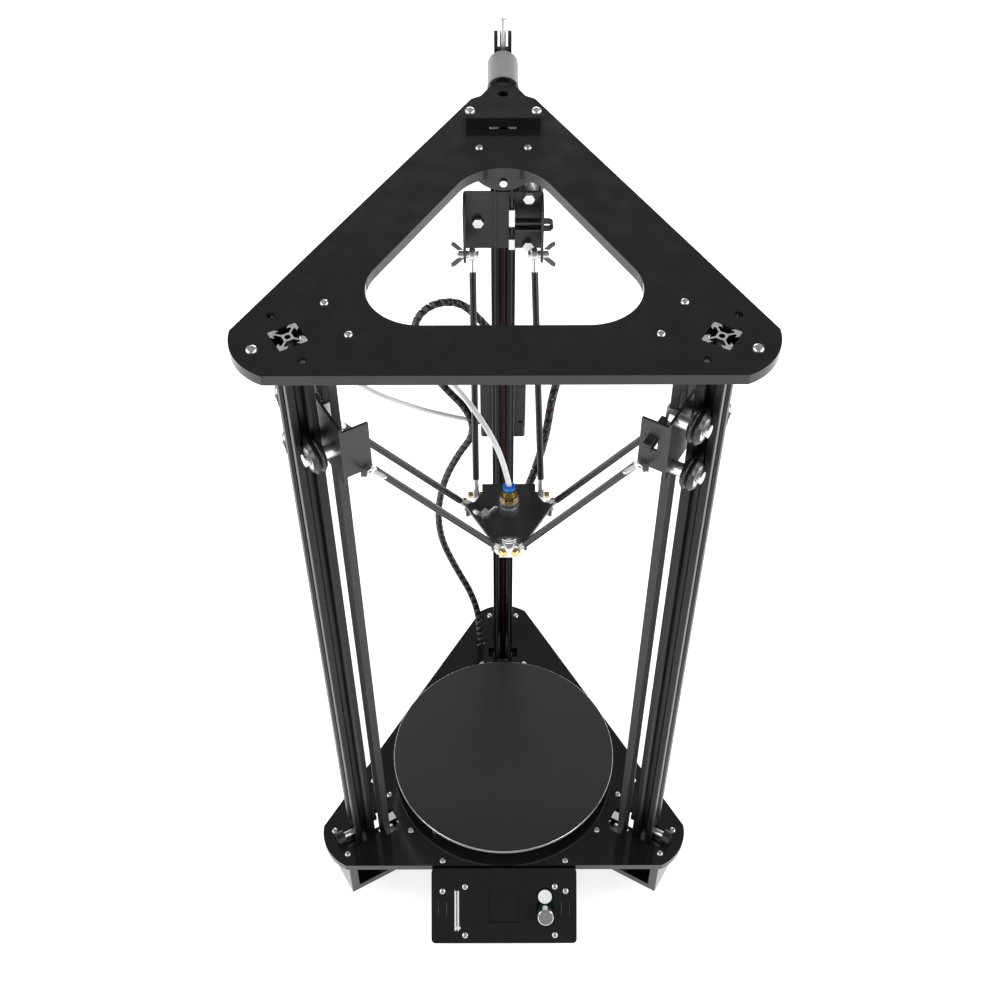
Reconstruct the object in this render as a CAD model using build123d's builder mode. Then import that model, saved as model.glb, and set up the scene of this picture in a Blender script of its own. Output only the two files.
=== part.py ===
"""A linear delta printer: three upright rails, three belt-driven carriages, six rods and one effector.

Millimetres, +Z up. The origin is on the printer's vertical axis, at the underside of the floor plate. The
back tower stands on +Y and the control panel faces -Y. What repeats at each tower is drawn once at the back
tower, where X runs across the rail and Y is the distance from the printer's axis, and is then turned.
"""
import math
import os

from build123d import *

os.makedirs("parts", exist_ok=True)

# Frame
TOWERS = {"back": 0, "left": 120, "right": 240}
RAIL = 20
RAIL_RADIUS = 161
RAIL_HOLE = 20.4
PLATE = 8
BASE_TOP = 60
BASE_UNDERSIDE = BASE_TOP - PLATE
FRAME_TOP = 712.5
TOP_UNDERSIDE = FRAME_TOP - PLATE
PLATE_INRADIUS = 117
CORNER_START = 191
CORNER_NOSE = 199
OPENING_INRADIUS = 69.6
OPENING_FILLET = 38
FLOOR_HUB = 100
FLOOR_ARM = 48

# Upright panels, each at the radius of its outer face, and the tabs and screws that hold them
OUTER_PANEL = 188.2
MOTOR_PANEL = 123.2
IDLER_PANEL = 130.4
TAB = 15.4
TAB_HOLE = 15.6
TAB_HOLE_DEPTH = 8.2
OUTER_SCREWS = 14.4
MOTOR_PANEL_SCREWS = 22.8
IDLER_PANEL_SCREWS = 18
SCREW_HOLE = 1.6
SLOT_WIDTH = 3.2
SLOT_DEPTH = 10.4
NUT_POCKET = (5.8, 2.8)
NUT_DROP = 15.2

# Belt drive
MOTOR = 42.3
MOTOR_LENGTH = 40
MOTOR_FACE = 115.2
MOTOR_SCREWS = 31
MOTOR_BEVEL = 4.5
MOTOR_COLLAR = 11
MOTOR_COLLAR_HEIGHT = 2
MOTOR_SHAFT = 2.5
MOTOR_SHAFT_BORE = 2.55
MOTOR_SHAFT_DEPTH = 18
PULLEY_FLANGE = 8
PULLEY_BARREL = 5.9
DRIVE_HEIGHT = 30
IDLER_HEIGHT = 684.6
BELT_MIDDLE = 137.5
BELT_WIDTH = 6
BELT_OUTSIDE = 7.4
BELT_INSIDE = 6.0

# Carriages, drawn about the middle of their three wheels
AXLE_SIDE = 20
AXLE_RISE = 23
WHEELS = {"upper": (AXLE_SIDE, AXLE_RISE), "lower": (AXLE_SIDE, -AXLE_RISE), "idle": (-AXLE_SIDE, 0)}
BEARING = 8
WEB_FACE = 146.5
SHEET = 2
FLANGE = 29.5
JOINT_SIDE = 24.5
JOINT_RADIUS = 127.8
JOINT_DROP = 20

# Rods and effector
EFFECTOR = Vector(4.3, 12.5, 428.7)
EFFECTOR_JOINT = (27.5, 24.1)
EFFECTOR_TOP = 8
EFFECTOR_SHEET = 3
EAR = 20.4
ROD = 205
ROD_RADIUS = 2.8
ROD_END = 14
PIN = 1.5
PIN_BORE = 1.55

# Bed, control panel, filament spool holder and extruder
BED_RADIUS = 111
BED_TOP = 77
BED_THICKNESS = 4
PANEL_SIZE = (140.5, 72)
PANEL_TILT = 40
PANEL_TOP = (-120.2, 60.3)
SPOOL_BRACKET_TOP = FRAME_TOP + PLATE
SPOOL_SCREWS = (24.9, 161.9)
SPOOL_AXIS = 708
SPOOL_TUBE = (211, 247)
EXTRUDER_SHELF = 377
EXTRUDER_MIDDLE = 197
FILAMENT_PATH = (191.7, 362)


def across(radius):
    """The upright plane across the back tower: x across, y up, its normal towards the printer's axis."""
    return Plane(origin=(0, radius, 0), x_dir=(1, 0, 0), z_dir=(0, -1, 0))


def at_tower(shape, tower, height=0):
    """A shape drawn at the back tower, raised and turned to a tower."""
    return shape.moved(Location((0, 0, height))).rotate(Axis.Z, TOWERS[tower])


def beside(turn, distance):
    """The upright plane at a distance beside an arm at some turn: x outwards along the arm, y up."""
    return Plane(
        origin=Vector(distance, 0, 0).rotate(Axis.Z, turn),
        x_dir=Vector(0, 1, 0).rotate(Axis.Z, turn),
        z_dir=Vector(1, 0, 0).rotate(Axis.Z, turn),
    )


def both_sides(x, y):
    return (-x, y), (x, y)


def turned(sections, x=0, z=0):
    """Cylinders on one axis along Y, each by its radius and its two distances from the printer's axis."""
    with BuildPart() as piece:
        for radius, start, end in sections:
            with BuildSketch(across(end)):
                with Locations((x, z)):
                    Circle(radius)
            extrude(amount=end - start)
    return piece.part


def screw(size, length, nut=False):
    """An upright button-head screw, its head standing on z = 0, with its square nut if it has one."""
    with BuildPart() as piece:
        with BuildSketch():
            Circle(0.95 * size)
        extrude(amount=0.55 * size)
        fillet(piece.edges().sort_by(Axis.Z)[-1], 0.45 * size)
        with BuildSketch(Plane.XY.offset(0.55 * size)):
            RegularPolygon(0.36 * size, 6)
        extrude(amount=-0.3 * size, mode=Mode.SUBTRACT)
        with BuildSketch():
            Circle(size / 2)
        extrude(amount=-length)
        if nut:
            with BuildSketch(Plane.XY.offset(-NUT_DROP - 0.4 * size)):
                Rectangle(1.83 * size, 1.83 * size)
            extrude(amount=0.8 * size)
    return piece.part


def save(part, name):
    part.label = name
    export_step(part, f"parts/{name}.step")


# Shared outlines

CORNER_HALF = (PLATE_INRADIUS - CORNER_START / 2) / math.cos(math.radians(30))

with BuildSketch() as plate_outline:
    with BuildLine():
        corners = []
        for turn in TOWERS.values():
            local = ((CORNER_HALF, CORNER_START), (0, CORNER_NOSE), (-CORNER_HALF, CORNER_START))
            corners.append([Vector(*point).rotate(Axis.Z, turn) for point in local])
        for corner, following in zip(corners, corners[1:] + corners[:1]):
            ThreePointArc(*corner)
            Line(corner[2], following[0])
    make_face()

half_slot = ((5.1, 10.1), (3.1, 8.2), (3.1, 7.9), (5.6, 7.9), (5.6, 6.6), (2.6, 3.6))
with BuildSketch() as rail_profile:
    RectangleRounded(RAIL, RAIL, 1)
    with PolarLocations(0, 4):
        Polygon(*half_slot, *[(-x, y) for x, y in reversed(half_slot)], align=None, mode=Mode.SUBTRACT)
    Circle(2.1, mode=Mode.SUBTRACT)


# Plates

with BuildPart() as floor_plate:
    with BuildSketch():
        Circle(FLOOR_HUB)
        with PolarLocations(0, 3):
            with Locations((0, OUTER_PANEL / 2)):
                Rectangle(FLOOR_ARM, OUTER_PANEL)
        with PolarLocations(0, 3):
            with Locations((0, OUTER_PANEL - PLATE / 2), (0, MOTOR_PANEL - PLATE / 2)):
                Rectangle(TAB_HOLE, TAB_HOLE_DEPTH, mode=Mode.SUBTRACT)
    extrude(amount=PLATE)
save(floor_plate.part, "floor_plate")

CABLE_HOLE = (-24.5, 148)
CABLE_HOLE_RADIUS = 4.5
BELT_SLOT = (18.4, 26)
PULLEY_SLOT = (31.2, 12)
FRONT_SCREWS = (59.5, -112.2)
SIDE_SCREWS = (131.7, -23.4)

with BuildPart() as base_plate:
    with BuildSketch(Plane.XY.offset(BASE_UNDERSIDE)):
        add(plate_outline.sketch)
        with PolarLocations(0, 3):
            with Locations((0, RAIL_RADIUS)):
                Rectangle(RAIL_HOLE, RAIL_HOLE, mode=Mode.SUBTRACT)
            with Locations((0, BELT_MIDDLE + 0.5)):
                Rectangle(*BELT_SLOT, mode=Mode.SUBTRACT)
            with Locations((0, BELT_MIDDLE - 2.5)):
                Rectangle(*PULLEY_SLOT, mode=Mode.SUBTRACT)
            with Locations((0, OUTER_PANEL - PLATE / 2), (0, MOTOR_PANEL - PLATE / 2)):
                Rectangle(TAB_HOLE, TAB_HOLE_DEPTH, mode=Mode.SUBTRACT)
            with Locations(*both_sides(OUTER_SCREWS, OUTER_PANEL - PLATE / 2)):
                Circle(SCREW_HOLE, mode=Mode.SUBTRACT)
            with Locations(*both_sides(MOTOR_PANEL_SCREWS, MOTOR_PANEL - PLATE / 2)):
                Circle(SCREW_HOLE, mode=Mode.SUBTRACT)
        with Locations(CABLE_HOLE):
            Circle(CABLE_HOLE_RADIUS, mode=Mode.SUBTRACT)
        with Locations(*both_sides(*FRONT_SCREWS), *both_sides(*SIDE_SCREWS)):
            Circle(SCREW_HOLE, mode=Mode.SUBTRACT)
    extrude(amount=PLATE)
save(base_plate.part, "base_plate")

CORNER_SCREW = 186.1
CORNER_HOLE = 2.2
SPOOL_HOLE = 2.9

with BuildPart() as top_plate:
    with BuildSketch(Plane.XY.offset(TOP_UNDERSIDE)):
        add(plate_outline.sketch)
        with PolarLocations(0, 3):
            with Locations((0, RAIL_RADIUS)):
                Rectangle(RAIL_HOLE, RAIL_HOLE, mode=Mode.SUBTRACT)
            with Locations((0, IDLER_PANEL - PLATE / 2)):
                Rectangle(TAB_HOLE, TAB_HOLE_DEPTH, mode=Mode.SUBTRACT)
            with Locations(*both_sides(IDLER_PANEL_SCREWS, IDLER_PANEL - PLATE / 2)):
                Circle(SCREW_HOLE, mode=Mode.SUBTRACT)
            with Locations((0, CORNER_SCREW)):
                Circle(CORNER_HOLE, mode=Mode.SUBTRACT)
            with Locations(*both_sides(*SPOOL_SCREWS)):
                Circle(SPOOL_HOLE, mode=Mode.SUBTRACT)
    extrude(amount=PLATE)
    with BuildSketch(Plane.XY.offset(TOP_UNDERSIDE)) as opening:
        RegularPolygon(OPENING_INRADIUS, 3, major_radius=False, rotation=90)
        fillet(opening.vertices(), OPENING_FILLET)
    extrude(amount=PLATE, mode=Mode.SUBTRACT)
save(top_plate.part, "top_plate")


# Rails

with BuildPart() as rail:
    with BuildSketch(Plane.XY.offset(PLATE)):
        with Locations((0, RAIL_RADIUS)):
            add(rail_profile.sketch)
    extrude(amount=FRAME_TOP - PLATE)
for tower in TOWERS:
    save(at_tower(rail.part, tower), f"tower_{tower}")


# Upright panels, with T-slots for the nuts below each plate

def cut_nut_slots(side, edge):
    """Cuts a pair of T-slots down from an edge, in the sketch that is open."""
    with Locations(*both_sides(side, edge - SLOT_DEPTH / 2)):
        Rectangle(SLOT_WIDTH, SLOT_DEPTH, mode=Mode.SUBTRACT)
    with Locations(*both_sides(side, edge + PLATE - NUT_DROP)):
        Rectangle(*NUT_POCKET, mode=Mode.SUBTRACT)


BAY_HEIGHT = BASE_UNDERSIDE - PLATE
BAY_MIDDLE = PLATE + BAY_HEIGHT / 2

with BuildPart() as outer_panel:
    with BuildSketch(across(OUTER_PANEL)):
        with Locations((0, BAY_MIDDLE)):
            Rectangle(FLOOR_ARM, BAY_HEIGHT)
            Rectangle(TAB, BAY_HEIGHT + 2 * PLATE)
        cut_nut_slots(OUTER_SCREWS, BASE_UNDERSIDE)
    extrude(amount=PLATE)

MOTOR_PANEL_WIDTH = 56

with BuildPart() as motor_panel:
    with BuildSketch(across(MOTOR_PANEL)):
        with Locations((0, BAY_MIDDLE)):
            Rectangle(MOTOR_PANEL_WIDTH, BAY_HEIGHT)
            Rectangle(TAB, BAY_HEIGHT + 2 * PLATE)
        cut_nut_slots(MOTOR_PANEL_SCREWS, BASE_UNDERSIDE)
        with Locations((0, DRIVE_HEIGHT)):
            Circle(11.25, mode=Mode.SUBTRACT)
            with GridLocations(MOTOR_SCREWS, MOTOR_SCREWS, 2, 2):
                Circle(SCREW_HOLE, mode=Mode.SUBTRACT)
    extrude(amount=PLATE)

IDLER_PANEL_HALF = 23
IDLER_PANEL_SHOULDER = 692
IDLER_PANEL_FOOT = 677.4

with BuildPart() as idler_panel:
    with BuildSketch(across(IDLER_PANEL)):
        with BuildLine():
            shoulders = both_sides(IDLER_PANEL_HALF, IDLER_PANEL_SHOULDER)
            tops = both_sides(IDLER_PANEL_HALF, TOP_UNDERSIDE)
            ThreePointArc(shoulders[0], (0, IDLER_PANEL_FOOT), shoulders[1])
            Polyline(shoulders[1], tops[1], tops[0], shoulders[0])
        make_face()
        with Locations((0, TOP_UNDERSIDE)):
            Rectangle(TAB, 2 * PLATE)
        cut_nut_slots(IDLER_PANEL_SCREWS, TOP_UNDERSIDE)
        with Locations((0, IDLER_HEIGHT)):
            Circle(PIN_BORE, mode=Mode.SUBTRACT)
    extrude(amount=PLATE)

for one_panel, name in ((outer_panel, "outer"), (motor_panel, "motor"), (idler_panel, "idler")):
    with BuildPart() as group:
        with PolarLocations(0, 3):
            add(one_panel.part)
    save(group.part, f"{name}_panels")

RAIL_BACK = RAIL_RADIUS + RAIL / 2
ANGLE_SHEET = 3
ANGLE_SHELF = 21
ANGLE_DROP = 20
ANGLE_WIDTH = 16

with BuildPart() as tower_bracket:
    with BuildSketch(Plane.YZ):
        with Locations((RAIL_BACK, TOP_UNDERSIDE)):
            Rectangle(ANGLE_SHELF, ANGLE_SHEET, align=(Align.MIN, Align.MAX))
            Rectangle(ANGLE_SHEET, ANGLE_DROP, align=(Align.MIN, Align.MAX))
    extrude(amount=ANGLE_WIDTH / 2, both=True)
    with Locations((0, CORNER_SCREW, TOP_UNDERSIDE)):
        Hole(CORNER_HOLE)
with BuildPart() as tower_brackets:
    with PolarLocations(0, 3):
        add(tower_bracket.part)
save(tower_brackets.part, "tower_brackets")


# Belt drive

with BuildPart() as motor:
    with BuildSketch(across(MOTOR_FACE)):
        with Locations((0, DRIVE_HEIGHT)):
            body = Rectangle(MOTOR, MOTOR)
        chamfer(body.vertices(), MOTOR_BEVEL)
    extrude(amount=MOTOR_LENGTH)
    with BuildSketch(across(MOTOR_FACE + MOTOR_COLLAR_HEIGHT)):
        with Locations((0, DRIVE_HEIGHT)):
            Circle(MOTOR_COLLAR)
    extrude(amount=MOTOR_COLLAR_HEIGHT)
    with BuildSketch(across(MOTOR_FACE + MOTOR_COLLAR_HEIGHT)):
        with Locations((0, DRIVE_HEIGHT)):
            Circle(MOTOR_SHAFT_BORE)
    extrude(amount=MOTOR_COLLAR_HEIGHT + MOTOR_SHAFT_DEPTH, mode=Mode.SUBTRACT)
    with BuildSketch(across(MOTOR_FACE)):
        with Locations((0, DRIVE_HEIGHT)):
            with GridLocations(MOTOR_SCREWS, MOTOR_SCREWS, 2, 2):
                Circle(SCREW_HOLE)
    extrude(amount=4.5, mode=Mode.SUBTRACT)
with BuildPart() as drive_motors:
    with PolarLocations(0, 3):
        add(motor.part)
save(drive_motors.part, "drive_motors")

BARREL = (134.2, 140.8)
IDLER = (132.4, 142.6)

drive_pulley = turned(
    (
        (MOTOR_SHAFT, 98, 143), (PULLEY_FLANGE, 127, BARREL[0]), (PULLEY_BARREL, *BARREL),
        (PULLEY_FLANGE, BARREL[1], 141.8),
    ),
    z=DRIVE_HEIGHT,
)
with BuildPart() as idler_pulley:
    flanges = ((PULLEY_FLANGE, IDLER[0], BARREL[0]), (PULLEY_FLANGE, BARREL[1], IDLER[1]))
    add(turned((*flanges, (PULLEY_BARREL, *BARREL)), z=IDLER_HEIGHT))
    add(turned(((PIN_BORE, *IDLER),), z=IDLER_HEIGHT), mode=Mode.SUBTRACT)
for tower in TOWERS:
    save(at_tower(drive_pulley, tower), f"drive_pulley_{tower}")
    save(at_tower(idler_pulley.part, tower), f"idler_pulley_{tower}")

with BuildPart() as belt:
    with BuildSketch(across(BELT_MIDDLE + BELT_WIDTH / 2)):
        with Locations((0, (IDLER_HEIGHT + DRIVE_HEIGHT) / 2)):
            SlotCenterToCenter(IDLER_HEIGHT - DRIVE_HEIGHT, 2 * BELT_OUTSIDE, rotation=90)
            SlotCenterToCenter(IDLER_HEIGHT - DRIVE_HEIGHT, 2 * BELT_INSIDE, rotation=90, mode=Mode.SUBTRACT)
    extrude(amount=BELT_WIDTH)
with BuildPart() as belts:
    with PolarLocations(0, 3):
        add(belt.part)
save(belts.part, "belts")


# Carriages: a folded plate, its axles and bolts, and three wheels that run in the rail's grooves

WEB = (2 * (FLANGE + SHEET), 54.5)
TAIL_HEIGHT = 5
TAIL_RADIUS = 3.5
TAIL_START = 9
TAIL_END = 35

with BuildPart() as carriage_plate:
    with BuildSketch(across(WEB_FACE)):
        with Locations((0, 0.25)):
            RectangleRounded(*WEB, 2.5)
        with Locations(*WHEELS.values()):
            Circle(2.6, mode=Mode.SUBTRACT)
    extrude(amount=SHEET)
    for side in (-1, 1):
        with BuildSketch(Plane.YZ.offset(side * FLANGE)) as flange:
            with BuildLine():
                Polyline(
                    (WEB_FACE, 24), (JOINT_RADIUS - 3.3, 24), (JOINT_RADIUS - 3.3, -27),
                    (JOINT_RADIUS + 5.2, -27), (JOINT_RADIUS + 5.2, -JOINT_DROP), (WEB_FACE, -JOINT_DROP),
                    close=True,
                )
            make_face()
            fillet(flange.vertices().group_by(Axis.Y)[0], 2)
            with Locations((JOINT_RADIUS, -JOINT_DROP)):
                Circle(SCREW_HOLE, mode=Mode.SUBTRACT)
            if side > 0:
                with Locations((133, TAIL_HEIGHT)):
                    Rectangle(10, 14, mode=Mode.SUBTRACT)
        extrude(amount=side * SHEET)
    with BuildSketch(across(136)):
        with Locations((0, TAIL_HEIGHT)):
            SlotCenterToCenter(2 * TAIL_END, 2 * TAIL_RADIUS + 1.4)
            SlotCenterToCenter(2 * TAIL_END, 2 * TAIL_RADIUS - 1.4, mode=Mode.SUBTRACT)
        with Locations((TAIL_START, TAIL_HEIGHT)):
            Rectangle(2 * TAIL_END, 12, align=(Align.MAX, Align.CENTER), mode=Mode.SUBTRACT)
    extrude(amount=BELT_WIDTH)

CLIP_MIDDLE = (BELT_INSIDE + BELT_OUTSIDE) / 2


def joint_bolt(side):
    """A rod's pivot bolt through one flange, with its spacer and its wing nut outside."""
    nut_face = FLANGE + SHEET
    with BuildPart() as piece:
        for radius, start, end in (
            (2.75, 19.5, 21.5), (PIN, 21.5, nut_face + 5), (3, 27.3, FLANGE), (3.6, nut_face, nut_face + 4),
        ):
            with BuildSketch(Plane.YZ.offset(side * start)):
                with Locations((JOINT_RADIUS, -JOINT_DROP)):
                    Circle(radius)
            extrude(amount=side * (end - start))
        wing = ((0, 0), (0, 3.6), (6.5, 9.5), (9.5, 10.5), (10, 7.5), (4, 2.6), (4, 0))
        wings = Plane(
            origin=(side * nut_face, JOINT_RADIUS, -JOINT_DROP), x_dir=(side, 0, 0), z_dir=(0, 0.5, -0.87),
        )
        with BuildSketch(wings) as half_wing:
            Polygon(*wing, align=None)
            mirror(about=Plane.XZ)
        extrude(amount=0.9, both=True)
    return piece.part


with BuildPart() as carriage_hardware:
    for x, z in WHEELS.values():
        with BuildSketch(across(144.5)):
            with Locations((x, z)):
                RegularPolygon(4, 6, major_radius=False)
        extrude(amount=4)
        add(turned(((2.5, 140.5, 166.5), (5, WEB_FACE, 156), (BEARING, 156, 166), (4.6, 166.5, 169.5)), x, z))
    for side in (-1, 1):
        add(joint_bolt(side))
    for low, high in ((3, 18.7), (-19.6, -9.7)):
        with BuildSketch(Plane.XY.offset(low)):
            with Locations((CLIP_MIDDLE, 138.7)):
                Rectangle(4.6, 11.6)
            with Locations((CLIP_MIDDLE, 139.3)):
                Rectangle(2.2, 10.4, mode=Mode.SUBTRACT)
        extrude(amount=high - low)

wheel_half = ((BEARING + 0.2, 5.1), (9.6, 5.1), (11.95, 2.75), (11.95, 1.4))
with BuildPart() as wheel:
    with BuildSketch():
        Polygon(*wheel_half, (10.4, 0), *[(x, -y) for x, y in reversed(wheel_half)], align=None)
    revolve(axis=Axis.Y)


def effector_in(tower):
    """The effector's middle, seen in a tower's own directions."""
    return Vector(EFFECTOR.X, EFFECTOR.Y, 0).rotate(Axis.Z, -TOWERS[tower])


def carriage_height(tower):
    """The height of a carriage's middle that its rods give."""
    middle = effector_in(tower)
    reach = JOINT_RADIUS - EFFECTOR_JOINT[1] - middle.Y
    return EFFECTOR.Z + math.sqrt(ROD ** 2 - reach ** 2 - middle.X ** 2) + JOINT_DROP


for tower in TOWERS:
    height = carriage_height(tower)
    print(f"carriage_{tower} middle {height:.1f}")
    save(at_tower(carriage_plate.part, tower, height), f"carriage_plate_{tower}")
    save(at_tower(carriage_hardware.part, tower, height), f"carriage_hardware_{tower}")
    for wheel_name, (x, z) in WHEELS.items():
        placed = wheel.part.moved(Location((x, RAIL_RADIUS, z)))
        save(at_tower(placed, tower, height), f"wheel_{tower}_{wheel_name}")


# Rods: a black tube between two steel rod ends

rod_joints = []
for tower, turn in TOWERS.items():
    sideways = Vector(1, 0, 0).rotate(Axis.Z, turn)
    for side in (-1, 1):
        upper = Vector(side * JOINT_SIDE, JOINT_RADIUS, carriage_height(tower) - JOINT_DROP)
        lower = Vector(side * EFFECTOR_JOINT[0], EFFECTOR_JOINT[1], 0).rotate(Axis.Z, turn) + EFFECTOR
        rod_joints.append((lower, upper.rotate(Axis.Z, turn), sideways))

with BuildPart() as rods:
    for lower, upper, sideways in rod_joints:
        along = upper - lower
        with BuildSketch(Plane(origin=lower, z_dir=along).offset(ROD_END)):
            Circle(ROD_RADIUS)
        extrude(amount=along.length - 2 * ROD_END)
save(rods.part, "rods")


def rod_end(joint, other, sideways):
    """An eye with its pin's bore, and the shank that enters the rod."""
    eye = Plane(origin=joint, z_dir=sideways).offset(-2.5)
    with BuildPart() as piece:
        with BuildSketch(eye):
            Circle(5)
        extrude(amount=5)
        chamfer(piece.edges(), 0.8)
        with BuildSketch(Plane(origin=joint, z_dir=other - joint)):
            Circle(2.3)
        extrude(amount=ROD_END)
        with BuildSketch(eye):
            Circle(PIN_BORE)
        extrude(amount=5, mode=Mode.SUBTRACT)
    return piece.part


with BuildPart() as rod_ends:
    for lower, upper, sideways in rod_joints:
        add(rod_end(lower, upper, sideways))
        add(rod_end(upper, lower, sideways))
save(rod_ends.part, "rod_ends")


# Effector, drawn about its own middle at the height of the rods' joints

effector_place = Location(EFFECTOR)
EAR_OUTER = EAR + SHEET
effector_arm = ((EAR_OUTER, 19.5), (EAR_OUTER, 27), (EAR_OUTER - 2, 28.9))
effector_outline = []
for turn in TOWERS.values():
    for x, y in (*effector_arm, *[(-x, y) for x, y in reversed(effector_arm)]):
        effector_outline.append(Vector(x, y).rotate(Axis.Z, turn))
NECK = 6
CLAMP = (-19.7, -6.7)

with BuildPart() as effector_plate:
    with BuildSketch(Plane.XY.offset(EFFECTOR_TOP - EFFECTOR_SHEET)):
        Polygon(*effector_outline, align=None)
        Circle(NECK + 0.25, mode=Mode.SUBTRACT)
    extrude(amount=EFFECTOR_SHEET)
    for turn in TOWERS.values():
        for side in (-1, 1):
            with BuildSketch(beside(turn, side * EAR)):
                with Locations((24.2, 1.5)):
                    Rectangle(9.4, 13)
                with Locations((EFFECTOR_JOINT[1], 0)):
                    Circle(SCREW_HOLE, mode=Mode.SUBTRACT)
            extrude(amount=side * SHEET)
    with Locations((*CLAMP, EFFECTOR_TOP)):
        Hole(SCREW_HOLE)
save(effector_plate.part.moved(effector_place), "effector_plate")

with BuildPart() as effector_bolts:
    for turn in TOWERS.values():
        for side in (-1, 1):
            for radius, start, end in (
                (3.2, 18, EAR), (PIN, EAR, 30.3), (3, EAR_OUTER, 24.8), (3, 30.3, 34.2),
            ):
                with BuildSketch(beside(turn, side * start)):
                    with Locations((EFFECTOR_JOINT[1], 0)):
                        Circle(radius)
                extrude(amount=side * (end - start))
save(effector_bolts.part.moved(effector_place), "effector_bolts")

FIN_TOP = 4.5
FIN_BOTTOM = -28
FIN_PITCH = 3
FIN_RADIUS = 8.2


def stacked(sections):
    """Upright cylinders on one axis, each by its radius and its two heights."""
    with BuildPart() as piece:
        for radius, low, high in sections:
            with BuildSketch(Plane.XY.offset(low)):
                Circle(radius)
            extrude(amount=high - low)
    return piece.part


fins = [(FIN_RADIUS, FIN_TOP - FIN_PITCH * step - 1.2, FIN_TOP - FIN_PITCH * step) for step in range(11)]
heat_sink = stacked(
    [
        (FIN_RADIUS, 18, 22), (FIN_RADIUS, 12, 15), (FIN_RADIUS, EFFECTOR_TOP, 11), (NECK, -10, 18),
        *fins, (4.5, FIN_BOTTOM, -10), (2.2, FIN_BOTTOM - 3, FIN_BOTTOM),
    ]
)
save(heat_sink.moved(effector_place), "heat_sink")

BLOCK_TOP = FIN_BOTTOM - 3
BLOCK_BOTTOM = -42.5

with BuildPart() as heater_block:
    with BuildSketch(Plane.XY.offset(BLOCK_BOTTOM)):
        Rectangle(16, 20)
    extrude(amount=BLOCK_TOP - BLOCK_BOTTOM)
    with BuildSketch(Plane.YZ.offset(-11)):
        with Locations((5.5, BLOCK_BOTTOM + 5)):
            Circle(3)
    extrude(amount=22)
    chamfer(heater_block.faces().sort_by(Axis.Z)[-1].edges(), 0.4)
save(heater_block.part.moved(effector_place), "heater_block")

with BuildPart() as nozzle:
    with BuildSketch(Plane.XY.offset(BLOCK_BOTTOM)):
        RegularPolygon(3.5, 6, major_radius=False)
    extrude(amount=-3)
    with BuildSketch(Plane.XY.offset(BLOCK_BOTTOM - 3)):
        Circle(3)
    extrude(amount=-3.2, taper=38)
save(nozzle.part.moved(effector_place), "nozzle")

with BuildPart() as push_fitting:
    with BuildSketch(Plane.XY.offset(22)):
        RegularPolygon(6, 6, major_radius=False)
    extrude(amount=7)
    with BuildSketch(Plane.XY.offset(29)):
        Circle(5)
    extrude(amount=4)
save(push_fitting.part.moved(effector_place), "push_fitting")

COLLET_TOP = 37.7
fitting_collet = stacked([(3.6, 33, 35.5), (5.2, 35.5, COLLET_TOP)])
save(fitting_collet.moved(effector_place), "fitting_collet")

with BuildPart() as clamp_wing_nut:
    shaft = stacked([(PIN, -2, 16), (3.2, 2.5, EFFECTOR_TOP - EFFECTOR_SHEET), (3.8, EFFECTOR_TOP, 12)])
    add(shaft.moved(Location((*CLAMP, 0))))
    wing = ((0, 0), (3.8, 0), (9.5, 6), (10.6, 9), (8, 9.5), (2.8, 4), (0, 4))
    with BuildSketch(Plane(origin=(*CLAMP, EFFECTOR_TOP), x_dir=(0.97, 0.2, 0), z_dir=(0.2, -0.97, 0))):
        Polygon(*wing, align=None)
        mirror(about=Plane.YZ)
    extrude(amount=0.9, both=True)
save(clamp_wing_nut.part.moved(effector_place), "clamp_wing_nut")


# Heated bed on three sprung posts

with BuildPart() as heated_bed:
    with BuildSketch(Plane.XY.offset(BED_TOP - BED_THICKNESS)):
        Circle(BED_RADIUS)
    extrude(amount=BED_THICKNESS)
    chamfer(heated_bed.edges(), 0.5)
save(heated_bed.part, "heated_bed")

POST_RADIUS = 104
POST_TURN = 50
SPRING_COILS = 5
coil = (BED_TOP - BED_THICKNESS - BASE_TOP) / SPRING_COILS

with BuildPart() as bed_springs:
    with PolarLocations(POST_RADIUS, 3, start_angle=POST_TURN + 60):
        for turn in range(SPRING_COILS):
            with Locations((0, 0, BASE_TOP + (turn + 0.5) * coil)):
                Cylinder(2.6, coil)
                Cylinder(4, coil * 0.45)
save(bed_springs.part, "bed_springs")


# Control panel, tilted in front of the base plate

tilt = math.radians(PANEL_TILT)
panel_face = Plane(
    origin=(0, *PANEL_TOP), x_dir=(1, 0, 0), z_dir=(0, -math.sin(tilt), math.cos(tilt)),
)


def panel_point(down, depth):
    """The (Y, Z) of a point down the panel from its top edge and below its outer face."""
    y = PANEL_TOP[0] - down * math.cos(tilt) + depth * math.sin(tilt)
    z = PANEL_TOP[1] - down * math.sin(tilt) - depth * math.cos(tilt)
    return y, z


WINDOW = (30.2, 30.5)
WINDOW_MIDDLE = (-0.5, -37)
BRACKET_SIDE = 59.5
BRACKET_TAB = (32.1, 47.7)
CARD_SLOT = (5.8, 40)
CARD_SLOT_MIDDLE = (-45.1, -40.5)
KNOB = (39.7, -42.5)
BUZZER = (39.6, -27.4)
BOARD_SCREWS = ((-37.7, -17.6), (49.1, -17.6), (-37.7, -64.1), (49.1, -64.1))
BRACKET_SCREW_DOWN = 21.8

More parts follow.
